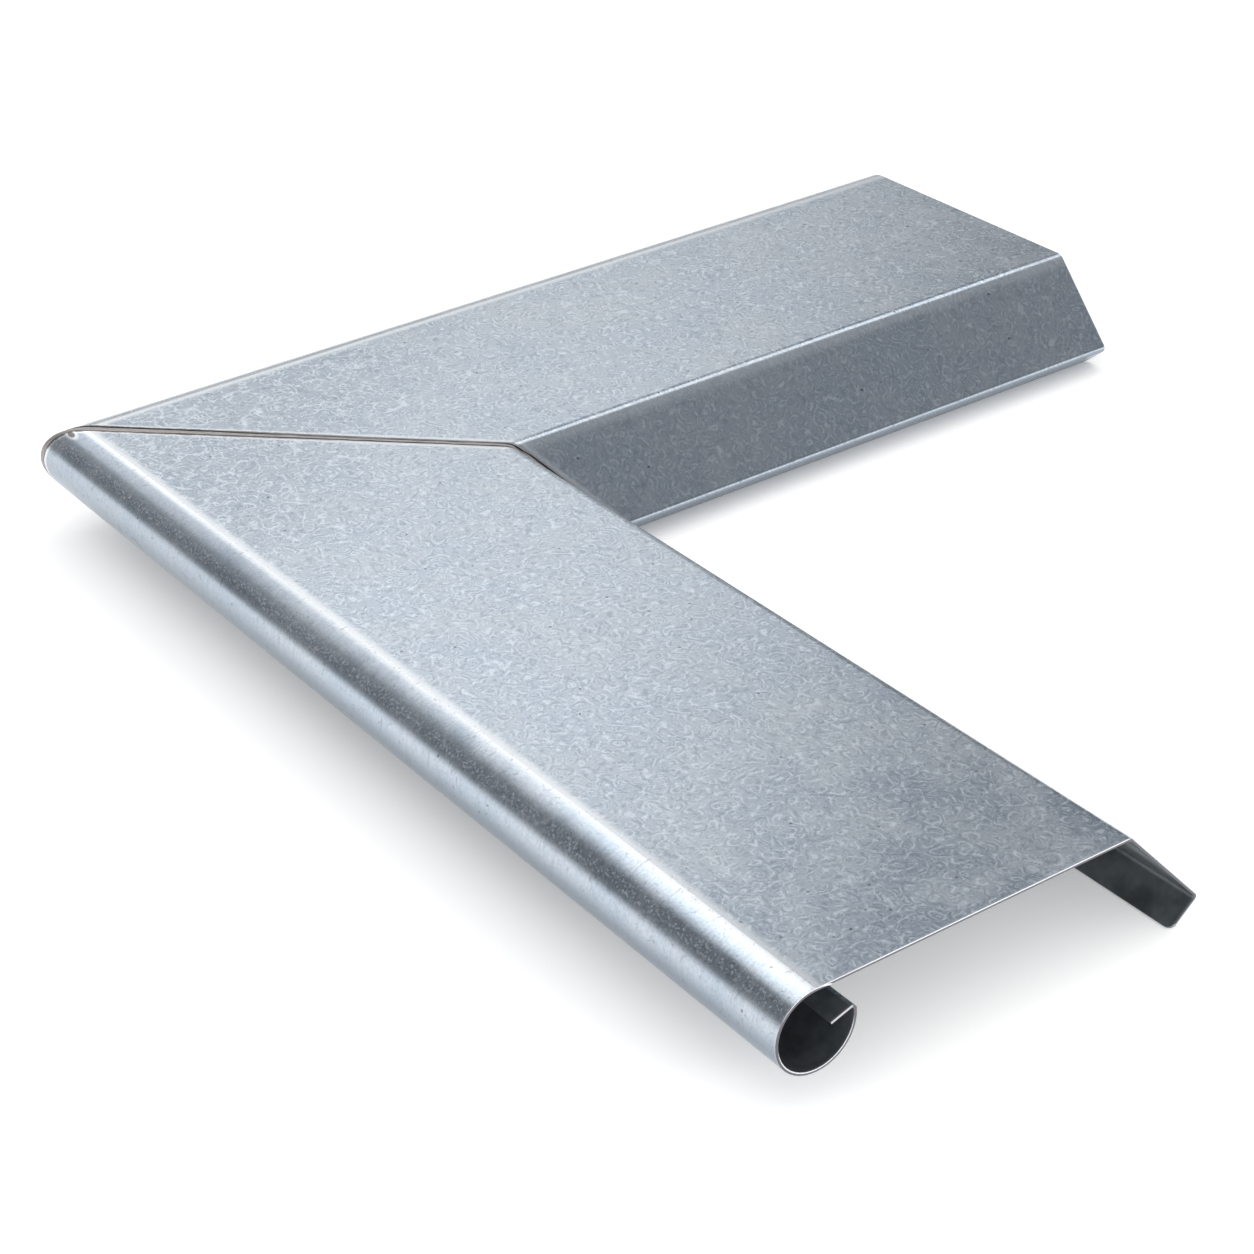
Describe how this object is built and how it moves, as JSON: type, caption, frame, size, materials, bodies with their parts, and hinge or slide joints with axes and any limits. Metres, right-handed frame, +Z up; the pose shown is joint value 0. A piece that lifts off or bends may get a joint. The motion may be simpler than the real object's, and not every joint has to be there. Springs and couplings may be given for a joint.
{
  "type": "gutter outside miter",
  "caption": "Outside corner of galvanised sheet: mitred legs with a rolled bead, flat web and sloped flange with a return lip, soldered at 45 degrees.",
  "frame": {"origin": "centre of the bottom of the part's box, level with the free edges of the return lips", "axes": "+X along the long leg, away from the mitre; +Y along the short leg, away from the mitre; +Z up, out of the face of the web"},
  "size_m": [0.325, 0.284, 0.0294],
  "materials": {
    "galvanised_sheet": "galvanised, fine spangle, satin",
    "solder": "dull soft solder with flux stain"
  },
  "bodies": {
    "root": {"long_leg": "galvanised_sheet", "short_leg": "galvanised_sheet", "mitre_solder": "solder"}
  },
  "joints": []
}
